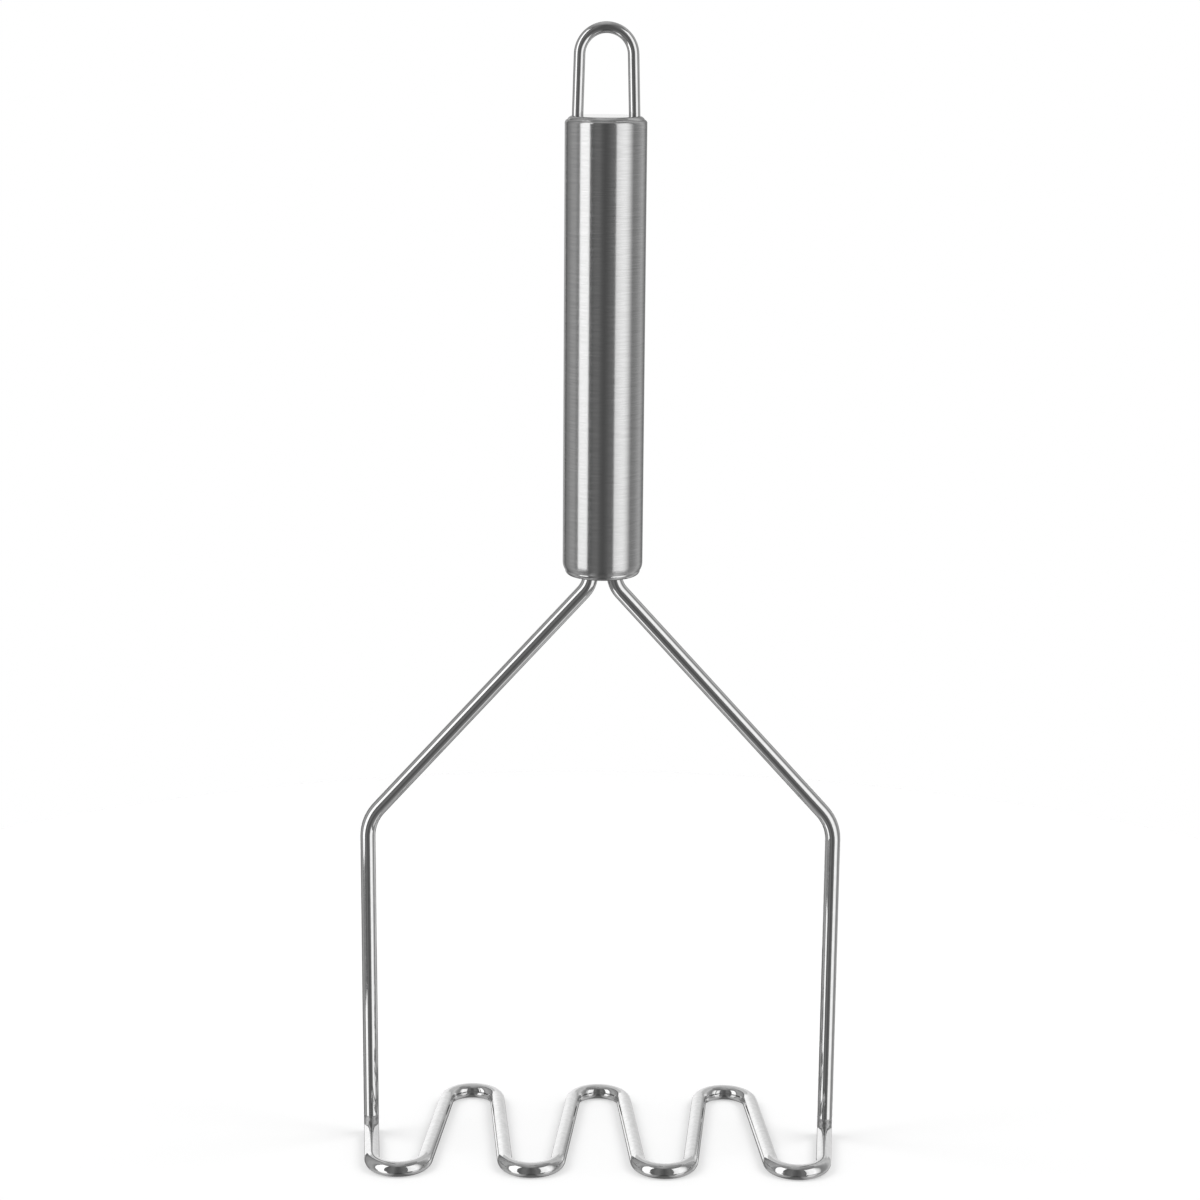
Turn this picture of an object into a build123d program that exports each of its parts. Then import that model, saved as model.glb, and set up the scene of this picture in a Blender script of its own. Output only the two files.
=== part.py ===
from build123d import *
from math import acos, asin, atan2, cos, hypot, pi, sin, tan
import os

# Potato masher of stainless steel, in millimetres.
# Z is up. X runs across the mashing head, and -Y is the front.
# The origin is on the floor, below the middle of the handle.

# Round wire of the head and the two legs
wire_diameter = 3.5
wire_radius = wire_diameter / 2

# Mashing head, one wire bent to and fro in a level plane
head_bend_count = 7
head_bend_spacing = 30.7
head_bend_radius = 6.2
head_depth = 48.6
head_flat_depth = 0.3

# Legs, each with a bend at the neck and one at the knee
leg_gap = 1.9
neck_length = 2.5
neck_bend_radius = 6.2
knee_height = 78.0
knee_bend_radius = 10.0
leg_length_in_handle = 9.0

# Weld where a leg stands on the head
foot_weld_height = 2.5
foot_weld_sink = 0.5

# Handle tube
tube_diameter = 18.0
tube_length = 100.0
tube_wall = 0.7
tube_height = 137.8
tube_edge_inset = 0.5
top_edge_height = 0.7
bottom_edge_height = 1.7

# Pressed end caps
cap_wall = 0.5
cap_step = 0.15
cap_skirt_length = 5.0
cap_clearance = 0.05
top_cap_height = 0.8
top_cap_rounding_width = 1.22
top_cap_rounding_height = 0.75
bottom_cap_height = 1.15
bottom_cap_rounding_width = 1.0
bottom_cap_rounding_height = 1.0
hole_clearance = 0.05

# Hanging loop
loop_wire_diameter = 2.5
loop_bend_radius = 5.85
loop_foot_spacing = 12.4
loop_height = 20.1
loop_length_in_handle = 5.5

# Welds inside the caps
bead_height = 1.2
bead_width = 0.7

# Places worked out from the sizes above
head_wire_height = wire_radius - head_flat_depth
head_top = head_wire_height + wire_radius
tube_radius = tube_diameter / 2
tube_bore_radius = tube_radius - tube_wall
tube_top = tube_height + tube_length
skirt_radius = tube_bore_radius - cap_clearance
flange_radius = tube_bore_radius + cap_step
top_face = tube_top + top_cap_height
bottom_face = tube_height - bottom_cap_height
loop_wire_radius = loop_wire_diameter / 2
foot_weld_top = head_top - foot_weld_sink + foot_weld_height

# The straight runs of the head lean, because they touch a front and a back bend
head_run_depth = head_depth - wire_diameter
bend_offset = head_run_depth / 2 - head_bend_radius
bend_step = head_bend_spacing / 2
head_lean = atan2(bend_step, 2 * bend_offset) - asin(
    2 * head_bend_radius / hypot(bend_step, 2 * bend_offset)
)

# Each leg stands where the end run of the head crosses the middle
last_bend_x = bend_step * (head_bend_count - 1) / 2
tangent_y = bend_offset + head_bend_radius * sin(head_lean)
leg_x = last_bend_x + head_bend_radius * cos(head_lean) + tangent_y * tan(head_lean)
neck_x = leg_gap / 2 + wire_radius


def head_bend(index):
    """Return the left, middle and right point of one bend; even ones lie at the front."""
    side = -1 if index % 2 == 0 else 1
    x = bend_step * (index - (head_bend_count - 1) / 2)
    y = side * bend_offset
    reach_x = head_bend_radius * cos(head_lean)
    reach_y = side * head_bend_radius * sin(head_lean)
    left = (x - reach_x, y + reach_y, head_wire_height)
    middle = (x, y + side * head_bend_radius, head_wire_height)
    right = (x + reach_x, y + reach_y, head_wire_height)
    return left, middle, right


def swept_wire(edges, radius):
    """Sweep a round wire along edges that join smoothly."""
    path = Wire(edges)
    section = Plane(origin=path @ 0, z_dir=path % 0) * Circle(radius)
    return sweep(section, path=path)


def mashing_head():
    """One wire to and fro, pressed flat below, with its ends under the legs."""
    bends = [head_bend(index) for index in range(head_bend_count)]
    end_y = wire_radius
    end_x = leg_x + end_y * tan(head_lean)
    edges = [Line((-end_x, end_y, head_wire_height), bends[0][0])]
    for index, (left, middle, right) in enumerate(bends):
        edges.append(ThreePointArc(left, middle, right))
        if index + 1 < head_bend_count:
            edges.append(Line(right, bends[index + 1][0]))
    edges.append(Line(bends[-1][2], (end_x, end_y, head_wire_height)))
    wire = swept_wire(edges, wire_radius)
    return split(wire, bisect_by=Plane.XY, keep=Keep.TOP)


def leg(side):
    """One leg wire; side is -1 for the left and 1 for the right."""
    top = (side * neck_x, 0, bottom_face + leg_length_in_handle)
    neck = (side * neck_x, 0, bottom_face - neck_length)
    knee = (side * leg_x, 0, knee_height)
    foot = (side * leg_x, 0, foot_weld_top)
    line = FilletPolyline(top, neck, knee, foot, radius=[neck_bend_radius, knee_bend_radius])
    return swept_wire(line.edges(), wire_radius)


def foot_weld(side, head):
    """The fused end of a leg, which sits astride the head's wire."""
    foot = Cylinder(wire_radius, foot_weld_height, align=(Align.CENTER, Align.CENTER, Align.MAX))
    return Pos(side * leg_x, 0, foot_weld_top) * foot - head


def handle_tube():
    """A tube with a straight bore, whose outer edge rolls in at both ends."""
    edge_radius = tube_radius - tube_edge_inset
    bottom_side = (tube_radius, tube_height + bottom_edge_height)
    bottom_end = (edge_radius, tube_height)
    top_side = (tube_radius, tube_top - top_edge_height)
    top_end = (edge_radius, tube_top)
    bore_top = (tube_bore_radius, tube_top)
    bore_bottom = (tube_bore_radius, tube_height)
    outline = [
        TangentArc(bottom_side, bottom_end, tangent=(0, -1)),
        Line(bottom_side, top_side),
        TangentArc(top_side, top_end, tangent=(0, 1)),
        Polyline(top_end, bore_top, bore_bottom, bottom_end),
    ]
    return revolve(Plane.XZ * make_face(outline), Axis.Z)


def end_cap(height, rounding_width, rounding_height):
    """A pressed cup, open below, whose flange rests on the tube's end at z = 0."""
    inner_radius = skirt_radius - cap_wall
    face_edge = (flange_radius - rounding_width, height)
    side_top = (flange_radius, height - rounding_height)
    outline = [
        Line((0, height), face_edge),
        TangentArc(face_edge, side_top, tangent=(1, 0)),
        Polyline(
            side_top,
            (flange_radius, 0),
            (skirt_radius, 0),
            (skirt_radius, -cap_skirt_length),
            (inner_radius, -cap_skirt_length),
            (inner_radius, height - cap_wall),
            (0, height - cap_wall),
            (0, height),
        ),
    ]
    return revolve(Plane.XZ * make_face(outline), Axis.Z)


def loop_line():
    """Return the loop's lean, its foot on the cap's face and its bend's points on the right."""
    arch_z = top_face + loop_height - loop_wire_radius - loop_bend_radius
    foot_x = loop_foot_spacing / 2
    rise = arch_z - top_face
    lean = atan2(foot_x, rise) + acos(loop_bend_radius / hypot(foot_x, rise)) - pi / 2
    bend_end = (loop_bend_radius * cos(lean), arch_z + loop_bend_radius * sin(lean))
    apex = (0, arch_z + loop_bend_radius)
    return lean, (foot_x, top_face), bend_end, apex


def hanging_loop():
    """A thin wire bent over, with both ends going down through the top cap."""
    lean, (foot_x, foot_z), (bend_x, bend_z), (apex_x, apex_z) = loop_line()
    end_x = foot_x + loop_length_in_handle * sin(lean)
    end_z = foot_z - loop_length_in_handle * cos(lean)
    edges = [
        Line((-end_x, 0, end_z), (-bend_x, 0, bend_z)),
        ThreePointArc((-bend_x, 0, bend_z), (apex_x, 0, apex_z), (bend_x, 0, bend_z)),
        Line((bend_x, 0, bend_z), (end_x, 0, end_z)),
    ]
    return swept_wire(edges, loop_wire_radius)


def wire_hole(side, foot_x, foot_z, lean, radius):
    """A cutter for the hole in which a wire goes through a cap."""
    length = 2 * (cap_wall + cap_skirt_length)
    line = Plane(origin=(side * foot_x, 0, foot_z), z_dir=(side * sin(lean), 0, -cos(lean)))
    return line * Cylinder(radius + hole_clearance, length)


def top_cap():
    """The cap at the loop, with two holes that follow the loop's lean."""
    lean, (foot_x, foot_z), _, _ = loop_line()
    cap = Pos(0, 0, tube_top) * end_cap(
        top_cap_height, top_cap_rounding_width, top_cap_rounding_height
    )
    for side in (-1, 1):
        cap -= wire_hole(side, foot_x, foot_z, lean, loop_wire_radius)
    return cap


def bottom_cap():
    """The cap at the legs, the same cup turned over."""
    cap = Pos(0, 0, tube_height) * Rot(180, 0, 0) * end_cap(
        bottom_cap_height, bottom_cap_rounding_width, bottom_cap_rounding_height
    )
    for side in (-1, 1):
        cap -= wire_hole(side, neck_x, bottom_face, 0, wire_radius)
    return cap


def weld_bead(side, x, z, up, radius, wire, cap):
    """A bead round a wire on a cap's inner face; up is 1 if it rises from there and -1 if not."""
    cone = Cone(
        radius + bead_width,
        radius + bead_width / 2,
        bead_height,
        align=(Align.CENTER, Align.CENTER, Align.MIN),
    )
    turn = 0 if up > 0 else 180
    return Pos(side * x, 0, z) * Rot(turn, 0, 0) * cone - wire - cap


def build():
    """Return every piece by its node's name."""
    head = mashing_head()
    loop = hanging_loop()
    pieces = {
        "handle_tube": handle_tube(),
        "top_cap": top_cap(),
        "bottom_cap": bottom_cap(),
        "hanging_loop": loop,
        "mashing_head": head,
    }
    lean, (foot_x, _), _, _ = loop_line()
    loop_bead_x = foot_x + cap_wall * tan(lean)
    loop_bead_z = top_face - cap_wall
    leg_bead_z = bottom_face + cap_wall
    for name, side in (("left", -1), ("right", 1)):
        wire = leg(side)
        pieces[name + "_leg"] = wire
        pieces[name + "_foot_weld"] = foot_weld(side, head)
        pieces[name + "_leg_weld"] = weld_bead(
            side, neck_x, leg_bead_z, 1, wire_radius, wire, pieces["bottom_cap"]
        )
        pieces[name + "_loop_weld"] = weld_bead(
            side, loop_bead_x, loop_bead_z, -1, loop_wire_radius, loop, pieces["top_cap"]
        )
    return pieces


os.makedirs("parts", exist_ok=True)
for node, shape in build().items():
    export_step(shape, "parts/" + node + ".step")
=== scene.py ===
from math import cos, radians, sin, tau

import bpy
from mathutils import Euler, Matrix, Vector

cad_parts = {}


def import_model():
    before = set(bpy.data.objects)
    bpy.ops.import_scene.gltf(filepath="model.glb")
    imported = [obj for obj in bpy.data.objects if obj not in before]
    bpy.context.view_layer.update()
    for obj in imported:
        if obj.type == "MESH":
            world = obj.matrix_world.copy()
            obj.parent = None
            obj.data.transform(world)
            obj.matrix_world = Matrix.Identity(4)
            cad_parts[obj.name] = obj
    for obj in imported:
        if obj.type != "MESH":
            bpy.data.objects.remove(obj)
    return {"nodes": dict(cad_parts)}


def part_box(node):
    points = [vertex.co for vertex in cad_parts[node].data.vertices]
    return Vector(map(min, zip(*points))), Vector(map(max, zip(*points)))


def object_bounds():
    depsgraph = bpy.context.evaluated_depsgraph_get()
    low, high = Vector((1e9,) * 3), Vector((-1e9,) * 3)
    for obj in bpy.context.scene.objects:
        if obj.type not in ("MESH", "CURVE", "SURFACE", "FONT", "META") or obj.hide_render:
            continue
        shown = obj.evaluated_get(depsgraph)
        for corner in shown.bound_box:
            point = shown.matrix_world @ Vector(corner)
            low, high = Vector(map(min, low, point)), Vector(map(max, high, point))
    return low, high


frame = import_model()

# Looks of the potato masher, in metres: steel finishes, a small studio and the camera.
# Z is up, X runs across the head, and -Y is the front.

cad_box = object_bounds()

# Camera, found from the object's outlines in the picture; its lens and sensor are in millimetres.
# An unturned camera looks straight down, and a turn of camera_level makes it look level.
camera_place = Vector((-0.0005, -0.5955, 0.2693))
camera_level = radians(90)
camera_down = radians(13.12)
camera_roll = radians(0.45)
camera_lens = 81.0
camera_sensor = 36.0
camera_clip_start = 0.01
camera_clip_end = 50.0

# Floor: a round pale sheet. Where it is seen, a darker colour keeps its shadow faint, and a glow
# makes up for it, so that the rest is white.
floor_radius = 0.3
floor_corners = 96
floor_colour = 0.8
seen_floor_colour = 0.45
floor_glow = 0.375

# Two soft lamps and the plain light round them, which light only the floor
lamp_rise = radians(50)
lamp_distance = 1.2
lamp_size = 0.7
lamp_power = 8.0
world_light = 0.75

# Studio walls and softboxes, upright round the object
wall_distance = 1.05
wall_bottom = -0.8
wall_top = 1.66
backdrop_bottom = -0.35
backdrop_top = 0.55
softbox_distance = 1.0
left_softbox_bottom = -0.25
left_softbox_top = 1.42
right_softbox_bottom = -0.5
right_softbox_top = 1.2

# Near cards below the softboxes, for the head's front bends and the undersides of the arms.
# An arm is the slanted stretch of a leg, and its underside shows the card of the other side.
near_distance = 0.25
near_bottom = -0.3
left_arm_card_top = -0.195
low_softbox_top = -0.046
right_arm_card_top = -0.13

# Near card behind the head and to the right of it, for the right side of the head's last run
end_run_card_distance = 0.13
end_run_card_bottom = -0.055
end_run_card_top = 0.045

# Each upright card has its name, distance, bottom, top and light levels by azimuth in degrees.
# Azimuth 0 is the camera's side and 90 lies to the camera's right.
cards = (
    (
        "front_wall", wall_distance, wall_bottom, wall_top,
        ((-46, 0.16), (-35, 0.15), (-29, 0.2), (-17, 0.21), (-9, 0.14),
         (0, 0.11), (9, 0.14), (19, 0.2), (32, 0.19)),
    ),
    (
        "left_wall", wall_distance, wall_bottom, wall_top,
        ((-146, 0.2), (-140, 0.2), (-133, 0.37), (-116, 0.4), (-108, 0.47),
         (-92, 0.47), (-84, 0.31), (-46, 0.27)),
    ),
    (
        "right_wall", wall_distance, wall_bottom, wall_top,
        ((32, 0.27), (83, 0.32), (87, 0.3), (99, 0.34), (108, 0.43),
         (117, 0.56), (128, 0.74), (137, 0.68), (149, 0.6)),
    ),
    (
        "backdrop", wall_distance, backdrop_bottom, backdrop_top,
        ((149, 0.48), (151, 0.5), (153, 0.6), (156, 0.78), (160, 0.9), (170, 0.98),
         (180, 1.06), (188, 1.17), (195, 1.3), (203, 1.4), (214, 1.42)),
    ),
    ("low_back_wall", wall_distance, wall_bottom, backdrop_bottom, ((149, 0.2), (214, 0.36))),
    ("high_back_wall", wall_distance, backdrop_top, wall_top, ((149, 0.66), (214, 0.78))),
    (
        "left_softbox", softbox_distance, left_softbox_bottom, left_softbox_top,
        ((-76, 1.64), (-45, 1.64)),
    ),
    ("low_softbox", near_distance, left_arm_card_top, low_softbox_top, ((-72, 1.46), (-44, 1.46))),
    ("left_arm_card", near_distance, near_bottom, left_arm_card_top, ((-72, 0.9), (-44, 0.9))),
    ("right_arm_card", near_distance, near_bottom, right_arm_card_top, ((44, 0.85), (72, 0.85))),
    (
        "end_run_card", end_run_card_distance, end_run_card_bottom, end_run_card_top,
        ((123, 1.0), (139, 1.0)),
    ),
    (
        "right_softbox", softbox_distance, right_softbox_bottom, right_softbox_top,
        ((30.5, 1.12), (40, 1.26), (50, 1.36), (60, 1.36), (68, 1.15), (75, 0.82), (83, 0.35)),
    ),
)

# About how wide each face of a curved card is
card_step = radians(1.5)

# Level cards have light levels from left to right and shares of them from front to back, by place.
# The shade is a small one in front of the left leg's neck, for the bottom cap's rim.
ceiling_levels = ((-1.1, 0.33), (-0.5, 0.4), (-0.18, 0.53), (0.1, 0.5), (0.4, 0.35), (1.1, 0.25))
ceiling_shares = ((-1.1, 0.5), (-0.8, 0.62), (-0.3, 0.83), (0.0, 1.0), (0.5, 1.15), (1.1, 1.2))
ground_levels = ((-1.1, 0.52), (-0.3, 0.5), (-0.16, 0.18), (0.16, 0.18), (0.3, 0.5), (1.1, 0.52))
ground_shares = ((-1.1, 0.34), (-0.85, 0.4), (-0.45, 0.8), (0.0, 1.0), (0.3, 1.08), (1.1, 1.1))
shade_height = 0.125
shade_levels = ((-0.023, 0.17), (-0.009, 0.17))
shade_shares = ((-0.022, 1.0), (-0.0105, 1.0))

# The part of the noise's range over which a finish changes
noise_low = 0.3
noise_high = 0.7

# How far below the handle's top face its painted highlight begins, where the reflections are painted
# brighter
top_face_margin = 0.00006


def new_material(name):
    """A material with an empty node tree."""
    material = bpy.data.materials.new(name)
    material.use_nodes = True
    material.node_tree.nodes.clear()
    return material


def add(tree, kind, **sockets):
    """Add a node of that kind, and set or link its sockets by name, or by number as in _0."""
    node = tree.nodes.new(kind)
    for socket, value in sockets.items():
        number = socket[1:]
        target = node.inputs[int(number) if number.isdigit() else socket.replace("_", " ")]
        if isinstance(value, bpy.types.NodeSocket):
            tree.links.new(value, target)
        else:
            target.default_value = value
    return node


def seen_rays(tree):
    """One for the rays of the camera, of gloss and of clear materials, and zero for the rest."""
    path = tree.nodes.new("ShaderNodeLightPath")
    seen = path.outputs["Is Camera Ray"]
    for kind in ("Is Glossy Ray", "Is Transmission Ray"):
        either = add(tree, "ShaderNodeMath", _0=seen, _1=path.outputs[kind])
        either.operation = "MAXIMUM"
        seen = either.outputs[0]
    return seen


def stretched_noise(tree, scale, detail=3.0, roughness=0.55):
    """Noise over the object's own coordinates, drawn out along the axes with a small scale."""
    place = tree.nodes.new("ShaderNodeTexCoord")
    stretch = add(tree, "ShaderNodeMapping", Vector=place.outputs["Object"], Scale=scale)
    noise = add(
        tree,
        "ShaderNodeTexNoise",
        Vector=stretch.outputs[0],
        Scale=1.0,
        Detail=detail,
        Roughness=roughness,
    )
    return noise.outputs["Fac"]


def between(tree, factor, low, high, from_low=0.0, from_high=1.0):
    """A value that goes from low to high while the factor goes from from_low to from_high."""
    node = add(tree, "ShaderNodeMapRange", Value=factor)
    node.inputs["From Min"].default_value = from_low
    node.inputs["From Max"].default_value = from_high
    node.inputs["To Min"].default_value = low
    node.inputs["To Max"].default_value = high
    return node.outputs[0]


def grey_between(tree, factor, low, high, from_low=noise_low, from_high=noise_high):
    """A grey that follows the factor in the same way."""
    value = between(tree, factor, low, high, from_low, from_high)
    node = add(tree, "ShaderNodeCombineColor", Red=value, Green=value, Blue=value)
    return node.outputs[0]


def rims_with_painted_top(tree, rim, painted_top_rim):
    """The grey of rim, which turns into a brighter grey on the handle's top face: a painted highlight
    there.
    """
    place = tree.nodes.new("ShaderNodeTexCoord")
    height = add(tree, "ShaderNodeSeparateXYZ", Vector=place.outputs["Object"]).outputs["Z"]
    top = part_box("top_cap")[1][2]
    return grey_between(tree, height, rim, painted_top_rim, top - top_face_margin, top)


def steel(name, grain, fine, colour, rough, bump, rim=1.0, painted_top_rim=None, anisotropy=0.0, turn=0.0):
    """Bare steel, whose colour, roughness and bump follow noise.

    The grain is the noise's scale for colour and roughness, and fine is its scale for the bump, which
    has a strength and a distance. The rim is the grey that dims reflections at flat angles; on the
    handle's top face a brighter grey takes its place, a painted highlight.
    """
    material = new_material(name)
    tree = material.node_tree
    grain_noise = stretched_noise(tree, grain)
    fine_noise = stretched_noise(tree, fine, detail=2.0)
    relief = add(tree, "ShaderNodeBump", Height=fine_noise, Strength=bump[0], Distance=bump[1])
    shader = add(
        tree,
        "ShaderNodeBsdfPrincipled",
        Metallic=1.0,
        Base_Color=grey_between(tree, grain_noise, *colour),
        Roughness=between(tree, grain_noise, *rough, noise_low, noise_high),
        Normal=relief.outputs[0],
        # On the handle's top face the reflections are brightened: a painted highlight.
        Specular_Tint=(rim, rim, rim, 1.0) if painted_top_rim is None else rims_with_painted_top(tree, rim, painted_top_rim),
        Anisotropic=anisotropy,
        Anisotropic_Rotation=turn,
    )
    if anisotropy:
        tangent = tree.nodes.new("ShaderNodeTangent")
        tangent.direction_type = "RADIAL"
        tangent.axis = "Z"
        tree.links.new(tangent.outputs[0], shader.inputs["Tangent"])
    add(tree, "ShaderNodeOutputMaterial", Surface=shader.outputs[0])
    return material


def dress(material, *nodes):
    """Give the material to the nodes."""
    for name in nodes:
        for slot in frame["nodes"][name].material_slots:
            slot.material = material


def dress_object():
    """Give every piece its finish."""
    satin = steel(
        "satin_steel",
        grain=(220.0, 220.0, 5200.0),
        fine=(300.0, 300.0, 9000.0),
        colour=(0.53, 0.64),
        rough=(0.2, 0.27),
        bump=(0.12, 0.00002),
        rim=0.32,
        anisotropy=0.9,
        turn=0.25,
    )
    polished = steel(
        "polished_steel",
        grain=(900.0, 900.0, 900.0),
        fine=(1500.0, 1500.0, 1500.0),
        colour=(0.62, 0.68),
        rough=(0.08, 0.13),
        bump=(0.05, 0.00002),
        rim=0.35,
        # A brighter grey for the handle's top face: a painted highlight.
        painted_top_rim=0.86,
    )
    wire = steel(
        "wire_steel",
        grain=(1200.0, 1200.0, 500.0),
        fine=(900.0, 900.0, 250.0),
        colour=(0.63, 0.7),
        rough=(0.04, 0.08),
        bump=(0.05, 0.00003),
        rim=0.35,
    )
    head_wire = steel(
        "head_wire_steel",
        grain=(900.0, 900.0, 900.0),
        fine=(700.0, 700.0, 700.0),
        colour=(0.64, 0.72),
        rough=(0.05, 0.1),
        bump=(0.05, 0.00003),
        rim=0.85,
    )
    weld = steel(
        "weld_steel",
        grain=(1100.0, 1100.0, 1100.0),
        fine=(900.0, 900.0, 900.0),
        colour=(0.3, 0.62),
        rough=(0.3, 0.5),
        bump=(0.6, 0.00025),
    )
    dress(satin, "handle_tube")
    dress(polished, "top_cap", "bottom_cap")
    dress(wire, "hanging_loop", "left_leg", "right_leg")
    dress(head_wire, "mashing_head")
    dress(weld, "left_foot_weld", "right_foot_weld", "left_leg_weld", "right_leg_weld")
    dress(weld, "left_loop_weld", "right_loop_weld")


def new_object(name, data):
    """An object in the scene with that data."""
    thing = bpy.data.objects.new(name, data)
    bpy.context.scene.collection.objects.link(thing)
    return thing


def new_sheet(name, points, faces):
    """A mesh object from points and faces."""
    mesh = bpy.data.meshes.new(name)
    mesh.from_pydata(points, [], faces)
    return new_object(name, mesh)


def level_at(place, levels):
    """The light level at a place, between those of its two neighbours in a list of places and levels."""
    for (low, low_level), (high, high_level) in zip(levels, levels[1:]):
        if place <= high:
            break
    share = min(max((place - low) / (high - low), 0), 1)
    return low_level + (high_level - low_level) * share


def glowing(name, points, faces, levels):
    """A studio surface with a light level at each point, which shows only in the metal."""
    thing = new_sheet(name, points, faces)
    store = thing.data.attributes.new("level", "FLOAT", "POINT")
    store.data.foreach_set("value", levels)
    material = new_material(name)
    tree = material.node_tree
    level = tree.nodes.new("ShaderNodeAttribute")
    level.attribute_name = "level"
    light = add(tree, "ShaderNodeEmission", Strength=level.outputs["Fac"])
    add(tree, "ShaderNodeOutputMaterial", Surface=light.outputs[0])
    thing.data.materials.append(material)
    thing.visible_camera = False
    thing.visible_diffuse = False
    thing.visible_shadow = False


def card(name, distance, bottom, top, stops):
    """An upright card, curved round the object, whose light follows the stops of azimuth and level."""
    stops = [(radians(azimuth), level) for azimuth, level in stops]
    first, last = stops[0][0], stops[-1][0]
    steps = round((last - first) / card_step)
    points, levels = [], []
    for step in range(steps + 1):
        azimuth = first + (last - first) * step / steps
        for height in (bottom, top):
            points.append((distance * sin(azimuth), -distance * cos(azimuth), height))
            levels.append(level_at(azimuth, stops))
    faces = [(2 * step, 2 * step + 2, 2 * step + 3, 2 * step + 1) for step in range(steps)]
    glowing(name, points, faces, levels)


def level_card(name, height, levels, shares):
    """A level card over or under the object: levels go across it, and shares from front to back."""
    points, lights = [], []
    for y, share in shares:
        for x, level in levels:
            points.append((x, y, height))
            lights.append(level * share)
    width = len(levels)
    faces = []
    for row in range(len(shares) - 1):
        for first in range(row * width, row * width + width - 1):
            faces.append((first, first + 1, first + width + 1, first + width))
    glowing(name, points, faces, lights)


def floor():
    """A pale floor, white where no shadow falls on it."""
    points = [(0, 0, 0)]
    for corner in range(floor_corners):
        angle = tau * corner / floor_corners
        points.append((floor_radius * cos(angle), floor_radius * sin(angle), 0))
    faces = [(0, 1 + corner, 1 + (corner + 1) % floor_corners) for corner in range(floor_corners)]
    thing = new_sheet("floor", points, faces)
    material = new_material("floor")
    tree = material.node_tree
    paint = add(tree, "ShaderNodeBsdfDiffuse", Color=(floor_colour,) * 3 + (1.0,))
    lit = add(tree, "ShaderNodeBsdfDiffuse", Color=(seen_floor_colour,) * 3 + (1.0,))
    glow = add(tree, "ShaderNodeEmission", Strength=floor_glow)
    white = add(tree, "ShaderNodeAddShader", _0=lit.outputs[0], _1=glow.outputs[0])
    choice = add(
        tree, "ShaderNodeMixShader", _0=seen_rays(tree), _1=paint.outputs[0], _2=white.outputs[0]
    )
    add(tree, "ShaderNodeOutputMaterial", Surface=choice.outputs[0])
    thing.data.materials.append(material)
    thing.visible_glossy = False


def world():
    """White where it is seen, and a plain even light for the rest."""
    scene_world = bpy.data.worlds.new("studio")
    bpy.context.scene.world = scene_world
    scene_world.use_nodes = True
    tree = scene_world.node_tree
    tree.nodes.clear()
    strength = between(tree, seen_rays(tree), world_light, 1.0)
    back = add(tree, "ShaderNodeBackground", Color=(1.0, 1.0, 1.0, 1.0), Strength=strength)
    add(tree, "ShaderNodeOutputWorld", Surface=back.outputs[0])


def lamp(name, side):
    """A soft lamp that points at the object's middle; side is -1 for the left and 1 for the right."""
    data = bpy.data.lights.new(name, "AREA")
    data.shape = "SQUARE"
    data.size = lamp_size
    data.energy = lamp_power
    thing = new_object(name, data)
    middle = (cad_box[0] + cad_box[1]) / 2
    way = Vector((side * cos(lamp_rise), 0, sin(lamp_rise)))
    thing.location = middle + way * lamp_distance
    thing.rotation_euler = way.to_track_quat("Z", "Y").to_euler()
    thing.visible_glossy = False
    thing.visible_camera = False


def camera():
    """The camera where the picture was taken."""
    data = bpy.data.cameras.new("camera")
    data.sensor_width = camera_sensor
    data.lens = camera_lens
    data.clip_start = camera_clip_start
    data.clip_end = camera_clip_end
    thing = new_object("camera", data)
    thing.location = camera_place
    look = Euler((camera_level - camera_down, 0, 0)).to_quaternion()
    roll = Euler((0, 0, camera_roll)).to_quaternion()
    thing.rotation_euler = (look @ roll).to_euler()
    bpy.context.scene.camera = thing


dress_object()
for row in cards:
    card(*row)
level_card("ceiling", wall_top, ceiling_levels, ceiling_shares)
level_card("ground", wall_bottom, ground_levels, ground_shares)
level_card("shade", shade_height, shade_levels, shade_shares)
floor()
world()
lamp("left_lamp", -1)
lamp("right_lamp", 1)
camera()
bpy.context.scene.view_settings.view_transform = "Standard"
